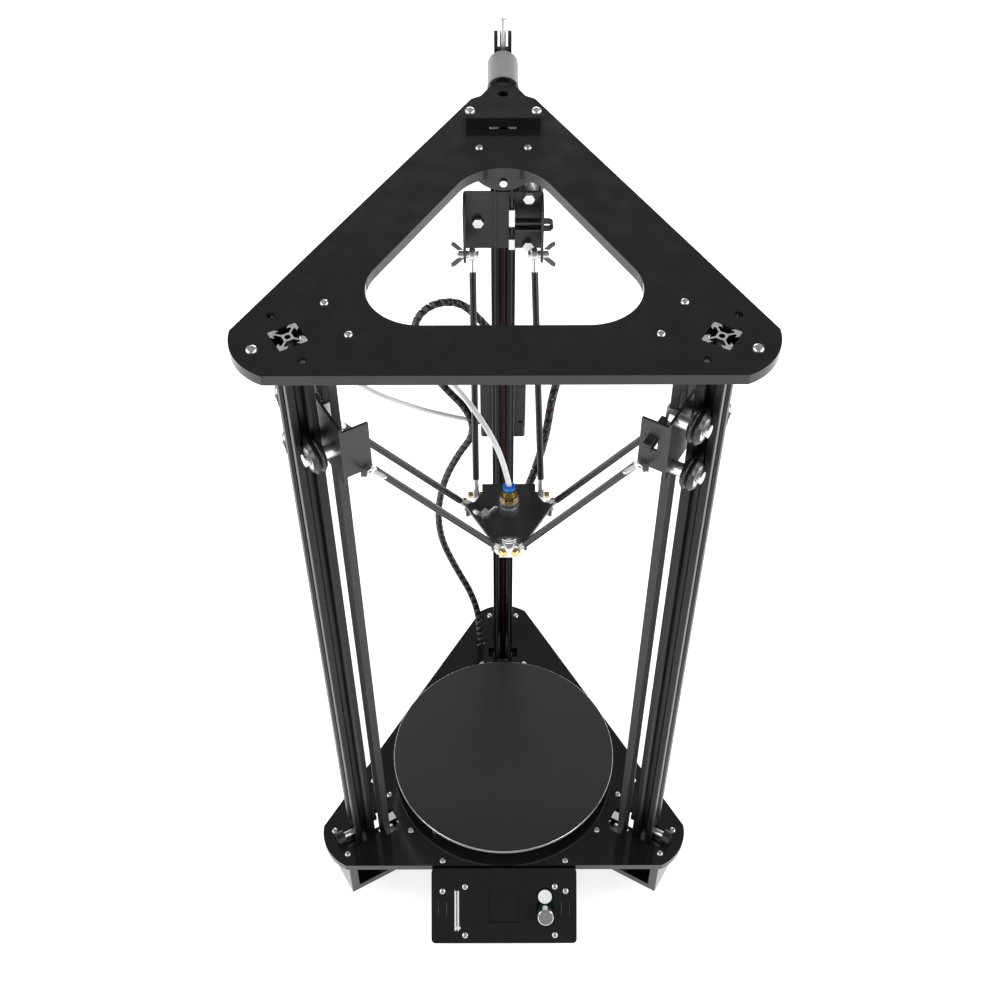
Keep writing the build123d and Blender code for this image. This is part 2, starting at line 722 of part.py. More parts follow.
with BuildPart() as control_panel:
    with BuildSketch(panel_face):
        with Locations((0, -PANEL_SIZE[1] / 2)):
            RectangleRounded(*PANEL_SIZE, 4)
        with Locations(*both_sides(BRACKET_SIDE, -sum(BRACKET_TAB) / 2)):
            Rectangle(PLATE + 0.2, BRACKET_TAB[1] - BRACKET_TAB[0] + 0.2, mode=Mode.SUBTRACT)
        with Locations(CARD_SLOT_MIDDLE):
            Rectangle(*CARD_SLOT, mode=Mode.SUBTRACT)
        with Locations((KNOB[0], (KNOB[1] + BUZZER[1]) / 2)):
            SlotCenterToCenter(15, 17, rotation=90, mode=Mode.SUBTRACT)
        with Locations(*BOARD_SCREWS, *both_sides(BRACKET_SIDE, -BRACKET_SCREW_DOWN)):
            Circle(SCREW_HOLE, mode=Mode.SUBTRACT)
    extrude(amount=-PLATE)
    with BuildSketch(panel_face):
        with Locations(WINDOW_MIDDLE):
            Rectangle(*WINDOW)
    extrude(amount=-1.5, mode=Mode.SUBTRACT)
    with Locations((0, 20 - PLATE_INRADIUS - 0.3, BASE_TOP)):
        Box(PANEL_SIZE[0], 40, 30, mode=Mode.SUBTRACT)
save(control_panel.part, "control_panel")

with BuildPart() as panel_brackets:
    for side in (-1, 1):
        with BuildSketch(Plane.YZ.offset(side * BRACKET_SIDE)):
            with BuildLine():
                Polyline(
                    (-100, BASE_UNDERSIDE), panel_point(3.4, PLATE), panel_point(BRACKET_TAB[0], PLATE),
                    panel_point(BRACKET_TAB[0], 0), panel_point(BRACKET_TAB[1], 0),
                    panel_point(BRACKET_TAB[1], PLATE), panel_point(66, PLATE), (-158, 11.8), (-100, 38),
                    close=True,
                )
            make_face()
        extrude(amount=PLATE / 2, both=True)
        with BuildSketch(Plane.XY.offset(BASE_UNDERSIDE)):
            with Locations((side * BRACKET_SIDE, FRONT_SCREWS[1])):
                Circle(SCREW_HOLE)
        extrude(amount=-10, mode=Mode.SUBTRACT)
        with BuildSketch(panel_face.offset(-PLATE)):
            with Locations((side * BRACKET_SIDE, -BRACKET_SCREW_DOWN)):
                Circle(SCREW_HOLE)
        extrude(amount=-8, mode=Mode.SUBTRACT)
save(panel_brackets.part, "panel_brackets")

BOARD = (96, 56)
BOARD_MIDDLE = (5.7, -41)
BOARD_DEPTH = 12
SHAFT = 3

with BuildPart() as display_board:
    with BuildSketch(panel_face.offset(-BOARD_DEPTH)):
        with Locations(BOARD_MIDDLE):
            Rectangle(*BOARD)
        with Locations(*BOARD_SCREWS):
            Circle(SCREW_HOLE, mode=Mode.SUBTRACT)
    extrude(amount=-1.6)
    with BuildSketch(panel_face.offset(-BOARD_DEPTH)):
        with Locations((-1, -38)):
            Rectangle(60, 38)
    extrude(amount=BOARD_DEPTH - PLATE - 0.4)
    with BuildSketch(panel_face.offset(-BOARD_DEPTH)):
        with Locations(KNOB):
            Rectangle(12, 12)
    extrude(amount=7)
    with BuildSketch(panel_face.offset(-5)):
        with Locations(KNOB):
            Circle(SHAFT)
    extrude(amount=20)
    with BuildSketch(panel_face.offset(-BOARD_DEPTH)):
        with Locations(BUZZER):
            Circle(6.6)
    extrude(amount=BOARD_DEPTH + 0.5)
    with BuildSketch(panel_face.offset(-BOARD_DEPTH - 1.6)):
        with Locations((-44.4, -40.5), (-47, -40.5)):
            Rectangle(1.6, 38)
    extrude(amount=BOARD_DEPTH + 2.6)
    with BuildSketch(panel_face.offset(-BOARD_DEPTH - 1.6)):
        with Locations((-45, -40.5)):
            Rectangle(5.6, 38)
    extrude(amount=1.6)
save(display_board.part, "display_board")

KNOB_START = 3
KNOB_TIP = 19

with BuildPart() as encoder_knob:
    with BuildSketch(panel_face.offset(KNOB_START)):
        with Locations(KNOB):
            Circle(7.5)
    extrude(amount=KNOB_TIP - KNOB_START)
    chamfer(encoder_knob.edges().group_by(Axis.Z)[-1], 0.6)
    with BuildSketch(panel_face.offset(KNOB_START)):
        with Locations(KNOB):
            Circle(SHAFT + 0.05)
    extrude(amount=12.5, mode=Mode.SUBTRACT)
save(encoder_knob.part, "encoder_knob")


# Spool holder behind the back tower: a bracket, an arm with a fork, and a roller tube

ARM_RADIUS = 10.2
FORK_END = 257
FORK_FLOOR = 718
FORK_PIN = 26

with BuildPart() as spool_holder:
    with BuildSketch(Plane.XY.offset(FRAME_TOP)) as bracket_outline:
        with BuildLine():
            Polyline((-10, 196), (-30, 159), (-30, 153), (30, 153), (30, 159), (10, 196))
            ThreePointArc((10, 196), (0, 208.5), (-10, 196))
        make_face()
        fillet(bracket_outline.vertices().group_by(Axis.Y)[0], 4)
        with Locations((0, 185.7)):
            Circle(4, mode=Mode.SUBTRACT)
        with Locations(*both_sides(*SPOOL_SCREWS)):
            Circle(2.2, mode=Mode.SUBTRACT)
    extrude(amount=PLATE)
    with BuildSketch(Plane.XY.offset(SPOOL_BRACKET_TOP)):
        with Locations((0, 199.4)):
            Circle(8.6)
    extrude(amount=-2, mode=Mode.SUBTRACT)
    add(turned(((ARM_RADIUS, 200, FORK_END - 8),), z=SPOOL_AXIS))
    with BuildSketch(Plane.YZ.offset(-7)):
        with BuildLine():
            Polyline((FORK_END - 14, SPOOL_AXIS - 5), (FORK_END, SPOOL_AXIS + 2), (FORK_END, SPOOL_AXIS + 24),
                     (FORK_END - 8, SPOOL_AXIS + 24), (FORK_END - 8, SPOOL_AXIS + 5), close=True)
        make_face()
    extrude(amount=14)
    with Locations((0, FORK_END, FORK_FLOOR)):
        Box(8, 20, 40, align=(Align.CENTER, Align.CENTER, Align.MIN), mode=Mode.SUBTRACT)
save(spool_holder.part, "spool_holder")

with BuildPart() as spool_roller:
    add(turned(((12.3, *SPOOL_TUBE),), z=SPOOL_AXIS))
    add(turned(((ARM_RADIUS + 0.05, *SPOOL_TUBE),), z=SPOOL_AXIS), mode=Mode.SUBTRACT)
save(spool_roller.part, "spool_roller")


# Extruder behind the back tower: motor above a shelf, drive gear and body below it

SHELF_WIDTH = 40.4
SHELF_LENGTH = 50
SHELF_BACK = 47
SHELF_SLOTS = (16, EXTRUDER_SHELF + 3)
EXTRUDER_MOTOR_LENGTH = 38

with BuildPart() as extruder_bracket:
    with BuildSketch(Plane.YZ):
        with Locations((RAIL_BACK, EXTRUDER_SHELF)):
            Rectangle(ANGLE_SHEET, SHELF_BACK, align=Align.MIN)
            Rectangle(SHELF_LENGTH, ANGLE_SHEET, align=(Align.MIN, Align.MAX))
    extrude(amount=SHELF_WIDTH / 2, both=True)
    with BuildSketch(across(RAIL_BACK + ANGLE_SHEET)):
        with Locations(*both_sides(*SHELF_SLOTS)):
            Rectangle(4.6, 2.5)
    extrude(amount=ANGLE_SHEET, mode=Mode.SUBTRACT)
    with BuildSketch(Plane.XY.offset(EXTRUDER_SHELF)):
        with Locations((0, EXTRUDER_MIDDLE)):
            Circle(MOTOR_COLLAR + 0.3)
    extrude(amount=-ANGLE_SHEET, mode=Mode.SUBTRACT)
save(extruder_bracket.part, "extruder_bracket")

with BuildPart() as extruder_motor:
    with BuildSketch(Plane.XY.offset(EXTRUDER_SHELF)):
        with Locations((0, EXTRUDER_MIDDLE)):
            case = Rectangle(MOTOR, MOTOR)
        chamfer(case.vertices(), MOTOR_BEVEL)
    extrude(amount=EXTRUDER_MOTOR_LENGTH)
    with BuildSketch(Plane.XY.offset(EXTRUDER_SHELF)):
        with Locations((0, EXTRUDER_MIDDLE)):
            Circle(MOTOR_COLLAR)
    extrude(amount=-MOTOR_COLLAR_HEIGHT)
    with BuildSketch(Plane.XY.offset(EXTRUDER_SHELF - MOTOR_COLLAR_HEIGHT)):
        with Locations((0, EXTRUDER_MIDDLE)):
            Circle(MOTOR_SHAFT_BORE)
    extrude(amount=MOTOR_COLLAR_HEIGHT + MOTOR_SHAFT_DEPTH, mode=Mode.SUBTRACT)
save(extruder_motor.part, "extruder_motor")

BODY_TOP = EXTRUDER_SHELF - ANGLE_SHEET
BODY_BOTTOM = 354
BODY_SIZE = (42, 40)
BODY_FLOOR = 3
SPOUT = (-31, 10)

with BuildPart() as extruder_body:
    with BuildSketch(Plane.XY.offset(BODY_BOTTOM)):
        with Locations((0, EXTRUDER_MIDDLE)):
            RectangleRounded(*BODY_SIZE, 3)
    extrude(amount=BODY_TOP - BODY_BOTTOM)
    with BuildSketch(Plane.XY.offset(BODY_TOP)):
        with Locations((0, EXTRUDER_MIDDLE)):
            Circle(8.5)
    extrude(amount=BODY_BOTTOM + BODY_FLOOR - BODY_TOP, mode=Mode.SUBTRACT)
    with BuildSketch(Plane.YZ.offset(SPOUT[0])):
        with Locations(FILAMENT_PATH):
            Circle(4.6)
    extrude(amount=SPOUT[1])
save(extruder_body.part, "extruder_body")

with BuildPart() as extruder_gear:
    for radius, low, high in ((MOTOR_SHAFT, 358, EXTRUDER_SHELF + 17), (5.2, 358, 367)):
        with BuildSketch(Plane.XY.offset(low)):
            with Locations((0, EXTRUDER_MIDDLE)):
                Circle(radius)
        extrude(amount=high - low)
save(extruder_gear.part, "extruder_gear")


# Cords: straight runs joined by arcs as large as the runs allow

def cord(name, points, radius):
    """A round tube along a hand-laid route."""
    route = [Vector(*point) for point in points]
    bends = []
    for before, here, after in zip(route, route[1:], route[2:]):
        turn = (here - before).get_angle(after - here)
        shorter = min((here - before).length, (after - here).length)
        bends.append(0.45 * shorter / math.tan(math.radians(turn / 2)))
    with BuildPart() as tube:
        with BuildLine() as path:
            FilletPolyline(*route, radius=bends)
        with BuildSketch(Plane(origin=path.line @ 0, z_dir=path.line % 0)):
            Circle(radius)
        sweep()
    length = sum(edge.length for edge in path.edges())
    share = tube.part.volume / (math.pi * radius ** 2 * length)
    print(f"{name}: length {length:.0f}, volume share {share:.4f}")
    save(tube.part, name)


bowden_route = [
    (4.3, 12.5, EFFECTOR.Z + COLLET_TOP + 0.6), (0, 14, 494), (-13, 22, 524), (-34, 42, 545), (-62, 72, 553),
    (-93, 105, 544), (-122, 135, 516), (-140, 158, 474), (-140, 175, 434), (-119, 184, 405),
    (-92, 189, 386), (-62, 191.7, 370), (-31.7, *FILAMENT_PATH),
]
cord("bowden_tube", bowden_route, 2.25)

harness_route = [
    (-24, 148, 56), (-24.5, 152, 92), (-32, 161, 128), (-50, 171, 164), (-64, 177, 203), (-66, 180, 245),
    (-58, 182, 288), (-43, 183, 324), (-27, 183, 352), (-33, 182, 385), (-54, 181, 415), (-71, 181, 445),
    (-80, 181, 476), (-76, 182, 500), (-60, 183, 515), (-38, 184, 515.5), (-22, 185, 497), (-8, 186, 474),
    (15, 187, 458), (42, 181, 462), (60, 163, 483), (62, 138, 506), (51, 113, 510), (41, 90, 494),
    (36, 68, 470), (28, 52, 448), (20, 46, 424), (12, 37, 405), (8, 26, 393),
]
cord("wire_harness", harness_route, 3.5)


# Fasteners and small parts that stay with the frame

with BuildPart() as fasteners:
    with PolarLocations(0, 3):
        base_screws = both_sides(OUTER_SCREWS, OUTER_PANEL - PLATE / 2)
        base_screws += both_sides(MOTOR_PANEL_SCREWS, MOTOR_PANEL - PLATE / 2)
        with Locations(*[(x, y, BASE_TOP) for x, y in base_screws]):
            add(screw(3, 18, nut=True))
        idler_screws = both_sides(IDLER_PANEL_SCREWS, IDLER_PANEL - PLATE / 2)
        with Locations(*[(x, y, FRAME_TOP) for x, y in idler_screws]):
            add(screw(3, 18, nut=True))
        add(turned(((2.9, 120.4, 122.4), (PIN, 122.4, 145.4), (3.2, 130.4, 132.1), (2.9, 143, 145.4)),
                   z=IDLER_HEIGHT))
        add(turned(((3, RAIL_BACK - 5.9, 180),), z=BASE_TOP + 10))
    for turn in (TOWERS["left"], TOWERS["right"]):
        corner = Vector(0, CORNER_SCREW, FRAME_TOP).rotate(Axis.Z, turn)
        with Locations(corner):
            add(screw(4, PLATE + 5))
    with Locations(*[(x, y, SPOOL_BRACKET_TOP) for x, y in both_sides(*SPOOL_SCREWS)]):
        add(screw(4, 2 * PLATE + 4))
    with Locations(*[(x, y, BASE_TOP) for x, y in (*both_sides(*FRONT_SCREWS), *both_sides(*SIDE_SCREWS))]):
        add(screw(3, PLATE + 6))
    for x, y in (*BOARD_SCREWS, *both_sides(BRACKET_SIDE, -BRACKET_SCREW_DOWN)):
        add(screw(3, BOARD_DEPTH + 2).moved(Location(panel_face) * Location((x, y, 0))))
    with BuildSketch(Plane.XY.offset(FORK_FLOOR)):
        with Locations((0, FORK_END - 4)):
            Circle(2.4)
    extrude(amount=FORK_PIN)
save(fasteners.part, "fasteners")

with BuildPart() as mainboard:
    with BuildSketch(Plane.XY.offset(14)):
        Rectangle(100, 70)
    extrude(amount=1.6)
    with GridLocations(92, 62, 2, 2):
        with Locations((0, 0, PLATE + 3)):
            Cylinder(3, 6)
    with Locations((-30, 5, 17.6), (-10, 5, 17.6), (10, 5, 17.6), (30, 5, 17.6)):
        Box(12, 16, 4)
    with Locations((-20, -29, 20.6), (25, -29, 20.6)):
        Box(30, 10, 10)
save(mainboard.part, "mainboard")

with BuildPart() as lock_knobs:
    with PolarLocations(0, 3):
        add(turned(((6, 180, 187.5),), z=BASE_TOP + 10))
save(lock_knobs.part, "lock_knobs")
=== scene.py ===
"""A black delta printer: gloss panels, anodised rails, belt-driven carriages, rods and a hanging hotend."""
import math

import bmesh
import bpy
from mathutils import Matrix, Vector


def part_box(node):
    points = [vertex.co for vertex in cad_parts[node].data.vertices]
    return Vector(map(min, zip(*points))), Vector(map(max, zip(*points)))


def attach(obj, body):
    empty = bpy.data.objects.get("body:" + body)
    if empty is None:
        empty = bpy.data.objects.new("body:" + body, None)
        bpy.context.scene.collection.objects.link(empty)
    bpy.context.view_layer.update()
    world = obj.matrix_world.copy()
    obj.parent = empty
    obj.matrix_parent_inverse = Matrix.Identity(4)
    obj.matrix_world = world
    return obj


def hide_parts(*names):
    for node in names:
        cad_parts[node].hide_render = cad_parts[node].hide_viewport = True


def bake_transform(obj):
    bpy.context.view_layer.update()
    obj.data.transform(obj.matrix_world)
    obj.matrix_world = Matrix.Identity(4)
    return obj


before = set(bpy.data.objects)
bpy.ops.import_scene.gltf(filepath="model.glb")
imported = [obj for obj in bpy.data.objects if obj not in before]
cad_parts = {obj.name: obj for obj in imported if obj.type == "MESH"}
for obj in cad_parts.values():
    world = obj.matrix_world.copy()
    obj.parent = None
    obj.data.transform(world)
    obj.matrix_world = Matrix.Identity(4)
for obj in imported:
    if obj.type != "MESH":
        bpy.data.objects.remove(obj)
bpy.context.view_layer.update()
scene = bpy.context.scene


# --- The room ---
# A white studio: a pale floor, lit from below like a light table, under a dim even sky. The lamps stand at
# the sides and low at the back, where neither the level plates nor the tilted panel mirror them.

FLOOR_SIZE = 12
FLOOR_GLOW = 0.66
SKY_STRENGTH = 0.22

bpy.ops.mesh.primitive_plane_add(size=FLOOR_SIZE)
studio_floor = bpy.context.object
studio_floor.name = "studio_floor"
floor_paint = bpy.data.materials.new("floor_paint")
floor_paint.use_nodes = True
floor_shader = floor_paint.node_tree.nodes["Principled BSDF"]
floor_shader.inputs["Base Color"].default_value = (0.96, 0.96, 0.96, 1)
floor_shader.inputs["Roughness"].default_value = 0.9
floor_shader.inputs["Emission Color"].default_value = (1, 1, 1, 1)
floor_shader.inputs["Emission Strength"].default_value = FLOOR_GLOW
studio_floor.data.materials.append(floor_paint)

sky = bpy.data.worlds.new("studio_sky")
sky.use_nodes = True
sky.node_tree.nodes["Background"].inputs["Color"].default_value = (1, 1, 1, 1)
sky.node_tree.nodes["Background"].inputs["Strength"].default_value = SKY_STRENGTH
scene.world = sky
scene.view_settings.view_transform = "Standard"


def lamp(name, place, aim, size, power):
    """A square soft lamp that looks at a point."""
    light = bpy.data.lights.new(name, "AREA")
    light.size = size
    light.energy = power
    holder = bpy.data.objects.new(name, light)
    holder.location = place
    holder.rotation_euler = (Vector(aim) - Vector(place)).to_track_quat("-Z", "Y").to_euler()
    scene.collection.objects.link(holder)


lamp("front_left_lamp", (-2.5, -1.8, 1.5), (0, 0, 0.3), 1.3, 40)
lamp("front_right_lamp", (2.5, -1.8, 1.5), (0, 0, 0.3), 1.3, 40)
lamp("left_lamp", (-2.6, 0.3, 1.9), (0, 0, 0.2), 1.4, 36)
lamp("right_lamp", (2.6, 0.3, 1.9), (0, 0, 0.2), 1.4, 36)
lamp("back_lamp", (0.0, 3.2, 0.9), (0, 0.6, 0.0), 1.2, 45)


# --- The camera ---
# It stands in front of the control panel, higher than the top plate, and looks down a little more steeply
# than half a right angle, so that the triangle of the top plate frames the moving parts.

VIEW_FROM = (-0.00415, -0.76024, 1.3229)
LOOK_DOWN = math.radians(48.52)
VIEW_TURN = 0.0012
VIEW_ROLL = -0.0034
SENSOR_WIDTH = 36
FOCAL_LENGTH = 50.92
SIDE_SHIFT = 0.0024

view_lens = bpy.data.cameras.new("view_lens")
view_lens.sensor_width = SENSOR_WIDTH
view_lens.lens = FOCAL_LENGTH
view_lens.shift_x = SIDE_SHIFT
view_lens.clip_start = 0.01
view_camera = bpy.data.objects.new("view_camera", view_lens)
view_camera.matrix_world = (
    Matrix.Translation(VIEW_FROM)
    @ Matrix.Rotation(VIEW_TURN, 4, "Z")
    @ Matrix.Rotation(math.pi / 2 - LOOK_DOWN, 4, "X")
    @ Matrix.Rotation(VIEW_ROLL, 4, "Z")
)
scene.collection.objects.link(view_camera)
scene.camera = view_camera


# --- Wire harness ---
# Four wires from the hotend, one red, one white and two black, twisted together inside black spiral wrap. It
# leaves the hole in the base plate, climbs behind the rear rail, bends round beside it and comes down to the
# heater block.

HARNESS_ROUTE = [
    (-0.024, 0.148, 0.056), (-0.0245, 0.152, 0.092), (-0.032, 0.161, 0.128), (-0.050, 0.171, 0.164),
    (-0.064, 0.177, 0.203), (-0.066, 0.180, 0.245), (-0.058, 0.182, 0.288), (-0.043, 0.183, 0.324),
    (-0.027, 0.183, 0.352), (-0.033, 0.182, 0.385), (-0.054, 0.181, 0.415), (-0.071, 0.181, 0.445),
    (-0.080, 0.181, 0.476), (-0.076, 0.182, 0.500), (-0.060, 0.183, 0.515), (-0.038, 0.184, 0.5155),
    (-0.022, 0.185, 0.497), (-0.008, 0.186, 0.474), (0.015, 0.187, 0.458), (0.042, 0.181, 0.462),
    (0.060, 0.163, 0.483), (0.062, 0.138, 0.506), (0.051, 0.113, 0.510), (0.041, 0.090, 0.494),
    (0.036, 0.068, 0.470), (0.028, 0.052, 0.448), (0.020, 0.046, 0.424), (0.012, 0.037, 0.405),
    (0.008, 0.026, 0.393),
]
HARNESS_RADIUS = 0.0035
WRAP_PITCH = 0.0085
WRAP_WIDTH = 0.0078
WRAP_THICKNESS = 0.0007
WRAP_STEPS_A_TURN = 14
WIRE_RADIUS = 0.00105
WIRE_FROM_MIDDLE = 0.0016
WIRE_LAY = 0.026
WIRE_COLOURS = (0, 1, 2, 2)
WIRE_SIDES = 6


def route_line(points):
    """The smooth line of a cord: a NURBS spline on the route's points, read back as points."""
    curve = bpy.data.curves.new("route", "CURVE")
    curve.dimensions = "3D"
    curve.resolution_u = 14
    spline = curve.splines.new("NURBS")
    spline.points.add(len(points) - 1)
    for knot, point in zip(spline.points, points):
        knot.co = (*point, 1)
    spline.order_u = 3
    spline.use_endpoint_u = True
    holder = bpy.data.objects.new("route", curve)
    scene.collection.objects.link(holder)
    bpy.context.view_layer.update()
    line = bpy.data.meshes.new_from_object(holder)
    read = [vertex.co.copy() for vertex in line.vertices]
    bpy.data.objects.remove(holder)
    return read


def frames_along(line):
    """For each point of a line: the distance run so far, and a frame whose Z follows the line unturned."""
    placed = []
    run = 0.0
    tangent = (line[1] - line[0]).normalized()
    turn = tangent.to_track_quat("Z", "Y")
    for step, point in enumerate(line):
        ahead = line[min(step + 1, len(line) - 1)] - line[max(step - 1, 0)]
        turn = tangent.rotation_difference(ahead.normalized()) @ turn
        tangent = ahead.normalized()
        if step:
            run += (point - line[step - 1]).length
        placed.append((run, Matrix.Translation(point) @ turn.to_matrix().to_4x4()))
    return placed


def add_tube(mesh, frames, radius, sides, material=0):
    """A closed tube through a row of frames."""
    before = len(mesh.faces)
    loops = []
    for place in frames:
        ring = bmesh.ops.create_circle(mesh, segments=sides, radius=radius, matrix=place)["verts"]
        loops.append(list({edge for vertex in ring for edge in vertex.link_edges}))
    for near, far in zip(loops, loops[1:]):
        bmesh.ops.bridge_loops(mesh, edges=near + far)
    for end in (loops[0], loops[-1]):
        bmesh.ops.contextual_create(mesh, geom=end)
    mesh.faces.ensure_lookup_table()
    for face in mesh.faces[before:]:
        face.material_index = material


def finished(name, mesh, *materials):
    """The object of a bmesh, smooth, with its materials."""
    bmesh.ops.recalc_face_normals(mesh, faces=mesh.faces)
    data = bpy.data.meshes.new(name)
    mesh.to_mesh(data)
    mesh.free()
    for material in materials:
        data.materials.append(material)
    data.shade_smooth()
    piece = bpy.data.objects.new(name, data)
    scene.collection.objects.link(piece)
    return piece


# Every finish drifts a little in tone and gloss, and has a fine grain, by this one group.
drift = bpy.data.node_groups.new("tone_drift", "ShaderNodeTree")
for socket, kind, value in (
    ("Vector", "NodeSocketVector", None), ("Dark", "NodeSocketColor", (0, 0, 0, 1)),
    ("Light", "NodeSocketColor", (1, 1, 1, 1)), ("Grain", "NodeSocketFloat", 200),
    ("Smoothest", "NodeSocketFloat", 0.2), ("Roughest", "NodeSocketFloat", 0.4),
):
    entry = drift.interface.new_socket(socket, in_out="INPUT", socket_type=kind)
    if value is not None:
        entry.default_value = value
for socket, kind in (
    ("Color", "NodeSocketColor"), ("Roughness", "NodeSocketFloat"), ("Height", "NodeSocketFloat"),
):
    drift.interface.new_socket(socket, in_out="OUTPUT", socket_type=kind)
drift_in = drift.nodes.new("NodeGroupInput")
drift_out = drift.nodes.new("NodeGroupOutput")
grain = drift.nodes.new("ShaderNodeTexNoise")
grain.inputs["Detail"].default_value = 6
drift.links.new(drift_in.outputs["Vector"], grain.inputs["Vector"])
drift.links.new(drift_in.outputs["Grain"], grain.inputs["Scale"])
tone = drift.nodes.new("ShaderNodeMix")
tone.data_type = "RGBA"
drift.links.new(grain.outputs["Fac"], tone.inputs["Factor"])
drift.links.new(drift_in.outputs["Dark"], tone.inputs[6])
drift.links.new(drift_in.outputs["Light"], tone.inputs[7])
gloss = drift.nodes.new("ShaderNodeMapRange")
drift.links.new(grain.outputs["Fac"], gloss.inputs["Value"])
drift.links.new(drift_in.outputs["Smoothest"], gloss.inputs["To Min"])
drift.links.new(drift_in.outputs["Roughest"], gloss.inputs["To Max"])
gloss.inputs["From Min"].default_value = 0.3
gloss.inputs["From Max"].default_value = 0.7
drift.links.new(tone.outputs[2], drift_out.inputs["Color"])
drift.links.new(gloss.outputs["Result"], drift_out.inputs["Roughness"])
drift.links.new(grain.outputs["Fac"], drift_out.inputs["Height"])


def finish(name, dark, light, metallic, gloss_range, grain_scale, bump=0.0, stretch=(1, 1, 1)):
    """A finish between two tones, with its gloss range, grain in waves a metre, and grain depth in metres."""
    material = bpy.data.materials.new(name)
    material.use_nodes = True
    nodes, links = material.node_tree.nodes, material.node_tree.links
    shader = nodes["Principled BSDF"]
    shader.inputs["Metallic"].default_value = metallic
    place = nodes.new("ShaderNodeTexCoord")
    mapping = nodes.new("ShaderNodeMapping")
    mapping.inputs["Scale"].default_value = stretch
    links.new(place.outputs["Object"], mapping.inputs["Vector"])
    group = nodes.new("ShaderNodeGroup")
    group.name = "drift"
    group.node_tree = drift
    links.new(mapping.outputs["Vector"], group.inputs["Vector"])
    group.inputs["Dark"].default_value = (*dark, 1)
    group.inputs["Light"].default_value = (*light, 1)
    group.inputs["Grain"].default_value = grain_scale
    group.inputs["Smoothest"].default_value, group.inputs["Roughest"].default_value = gloss_range
    links.new(group.outputs["Color"], shader.inputs["Base Color"])
    links.new(group.outputs["Roughness"], shader.inputs["Roughness"])
    if bump:
        relief = nodes.new("ShaderNodeBump")
        relief.inputs["Distance"].default_value = bump
        links.new(group.outputs["Height"], relief.inputs["Height"])
        links.new(relief.outputs["Normal"], shader.inputs["Normal"])
    return material


harness_line = route_line(HARNESS_ROUTE)
harness_frames = frames_along(harness_line)

wrap_plastic = finish("wrap_plastic", (0.008, 0.008, 0.009), (0.02, 0.02, 0.022), 0, (0.25, 0.45), 900)
red_wire = finish("red_wire", (0.45, 0.01, 0.01), (0.6, 0.02, 0.015), 0, (0.3, 0.45), 700)
white_wire = finish("white_wire", (0.6, 0.6, 0.58), (0.75, 0.74, 0.72), 0, (0.3, 0.45), 700)
black_wire = finish("black_wire", (0.01, 0.01, 0.01), (0.03, 0.03, 0.03), 0, (0.3, 0.45), 700)

wires_mesh = bmesh.new()
for number, material in enumerate(WIRE_COLOURS):
    lay = []
    for run, place in harness_frames:
        angle = 2 * math.pi * (run / WIRE_LAY + number / len(WIRE_COLOURS))
        sideways = (WIRE_FROM_MIDDLE * math.cos(angle), WIRE_FROM_MIDDLE * math.sin(angle), 0)
        lay.append(place @ Matrix.Translation(sideways))
    add_tube(wires_mesh, lay, WIRE_RADIUS, WIRE_SIDES, material)
harness_wires = finished("harness_wires", wires_mesh, red_wire, white_wire, black_wire)

wrap_mesh = bmesh.new()
edges_before = None
for (run, place), (next_run, next_place) in zip(harness_frames, harness_frames[1:]):
    steps = max(1, math.ceil((next_run - run) / (WRAP_PITCH / WRAP_STEPS_A_TURN)))
    for step in range(steps):
        share = step / steps
        here = run + (next_run - run) * share
        angle = 2 * math.pi * here / WRAP_PITCH
        middle = place.lerp(next_place, share)
        corners = []
        for out, along in (
            (HARNESS_RADIUS, -WRAP_WIDTH / 2), (HARNESS_RADIUS, WRAP_WIDTH / 2),
            (HARNESS_RADIUS - WRAP_THICKNESS, WRAP_WIDTH / 2),
            (HARNESS_RADIUS - WRAP_THICKNESS, -WRAP_WIDTH / 2),
        ):
            corner = Vector((out * math.cos(angle), out * math.sin(angle), along))
            corners.append(wrap_mesh.verts.new(middle @ corner))
        if edges_before:
            for side in range(4):
                other = (side + 1) % 4
                wrap_mesh.faces.new((edges_before[side], edges_before[other], corners[other], corners[side]))
        else:
            wrap_mesh.faces.new(corners)
        edges_before = corners
wrap_mesh.faces.new(edges_before)
spiral_wrap = finished("spiral_wrap", wrap_mesh, wrap_plastic)

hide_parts("wire_harness")
# The harness and its wrap are baked in place, and are attached to no body.
for piece in (harness_wires, spiral_wrap):
    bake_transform(piece)


# --- Feed tube ---
# Milky PTFE tube that guides the filament from the extruder round the left side to the hotend, where it is
# pushed into the blue collar.

FEED_ROUTE = [
    (0.0043, 0.0125, 0.467), (0, 0.014, 0.494), (-0.013, 0.022, 0.524), (-0.034, 0.042, 0.545),
    (-0.062, 0.072, 0.553), (-0.093, 0.105, 0.544), (-0.122, 0.135, 0.516), (-0.140, 0.158, 0.474),
    (-0.140, 0.175, 0.434), (-0.119, 0.184, 0.405), (-0.092, 0.189, 0.386), (-0.062, 0.1917, 0.370),
    (-0.0317, 0.1917, 0.362),
]
FEED_RADIUS = 0.00225
FEED_SIDES = 16

feed_line = route_line(FEED_ROUTE)
feed_mesh = bmesh.new()
add_tube(feed_mesh, [place for run, place in frames_along(feed_line)], FEED_RADIUS, FEED_SIDES)
milky_ptfe = finish("milky_ptfe", (0.72, 0.74, 0.76), (0.86, 0.87, 0.88), 0, (0.22, 0.38), 160)
tube_shader = milky_ptfe.node_tree.nodes["Principled BSDF"]
tube_shader.inputs["Subsurface Weight"].default_value = 0.35
tube_shader.inputs["Subsurface Radius"].default_value = (0.002, 0.002, 0.002)
feed_tube = finished("feed_tube", feed_mesh, milky_ptfe)
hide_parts("bowden_tube")
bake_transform(feed_tube)


